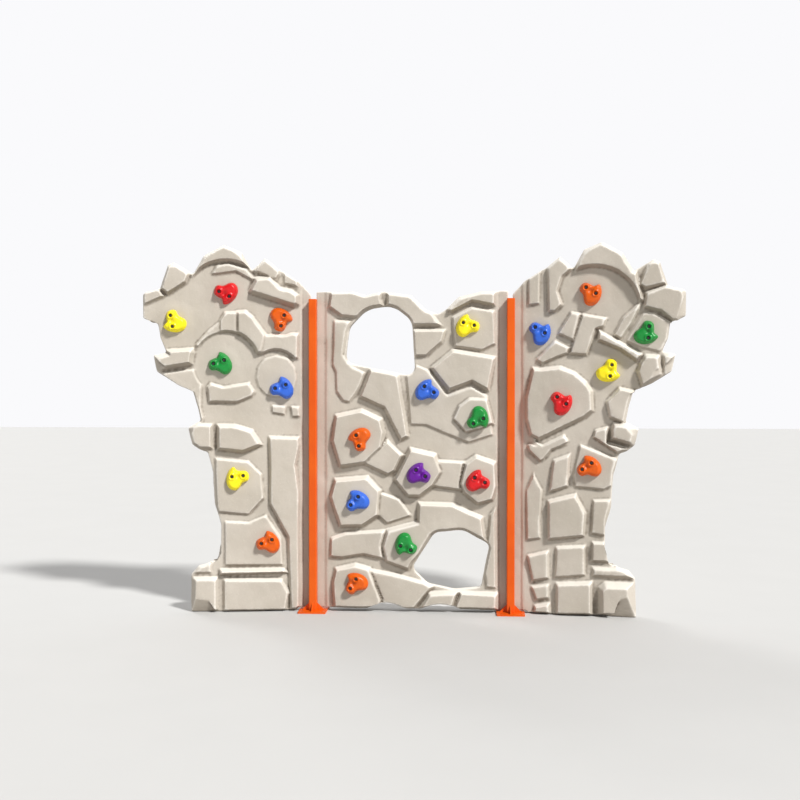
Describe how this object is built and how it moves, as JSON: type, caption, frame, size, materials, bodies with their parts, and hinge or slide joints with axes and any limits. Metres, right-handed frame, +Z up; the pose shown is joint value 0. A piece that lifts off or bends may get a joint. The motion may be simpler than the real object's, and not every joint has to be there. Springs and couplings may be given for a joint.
{
  "type": "rock climbing wall",
  "caption": "Moulded rock-pattern climbing wall: a centre panel with a window and a crawl hole, flared wings at its sides, steel posts between them, and bolted coloured holds.",
  "frame": {"origin": "on the ground under the middle of the whole wall's bounding box", "axes": "+X along the wall to the climber's right, +Y from the climbing face to the back, +Z up"},
  "size_m": [3.4734, 0.32, 2.385],
  "materials": {
    "moulded_rock": "matt, finely grained stone texture",
    "hold_red": "satin gloss",
    "hold_yellow": "satin gloss",
    "hold_orange": "satin gloss",
    "hold_green": "satin gloss",
    "hold_blue": "satin gloss",
    "hold_purple": "satin gloss",
    "post_paint": "powder coat",
    "bracket_zinc": "hot-dip galvanised",
    "bolt_steel": "zinc plated",
    "insert_brass": "plain"
  },
  "bodies": {
    "root": {"bracket_left_1": "bracket_zinc", "bracket_left_2": "bracket_zinc", "bracket_left_3": "bracket_zinc", "bracket_left_4": "bracket_zinc", "bracket_right_1": "bracket_zinc", "bracket_right_2": "bracket_zinc", "bracket_right_3": "bracket_zinc", "bracket_right_4": "bracket_zinc", "frame_bolts_left": "bolt_steel", "frame_bolts_right": "bolt_steel", "frame_inserts_centre": "insert_brass", "frame_inserts_left": "insert_brass", "frame_inserts_right": "insert_brass", "frame_washers_left": "bolt_steel", "frame_washers_right": "bolt_steel", "hold_bolts_centre": "bolt_steel", "hold_bolts_left": "bolt_steel", "hold_bolts_right": "bolt_steel", "hold_centre_1_yellow": "hold_yellow", "hold_centre_2_blue": "hold_blue", "hold_centre_3_green": "hold_green", "hold_centre_4_orange": "hold_orange", "hold_centre_5_purple": "hold_purple", "hold_centre_6_red": "hold_red", "hold_centre_7_blue": "hold_blue", "hold_centre_8_green": "hold_green", "hold_centre_9_orange": "hold_orange", "hold_inserts_centre": "insert_brass", "hold_inserts_left": "insert_brass", "hold_inserts_right": "insert_brass", "hold_left_1_red": "hold_red", "hold_left_2_yellow": "hold_yellow", "hold_left_3_orange": "hold_orange", "hold_left_4_green": "hold_green", "hold_left_5_blue": "hold_blue", "hold_left_6_yellow": "hold_yellow", "hold_left_7_orange": "hold_orange", "hold_right_1_orange": "hold_orange", "hold_right_2_blue": "hold_blue", "hold_right_3_green": "hold_green", "hold_right_4_yellow": "hold_yellow", "hold_right_5_red": "hold_red", "hold_right_6_orange": "hold_orange", "panel_centre": "moulded_rock", "panel_left": "moulded_rock", "panel_right": "moulded_rock", "post_left_base_plate": "post_paint", "post_left_cap": "post_paint", "post_left_gussets": "post_paint", "post_left_tube": "post_paint", "post_right_base_plate": "post_paint", "post_right_cap": "post_paint", "post_right_gussets": "post_paint", "post_right_tube": "post_paint"}
  },
  "joints": []
}
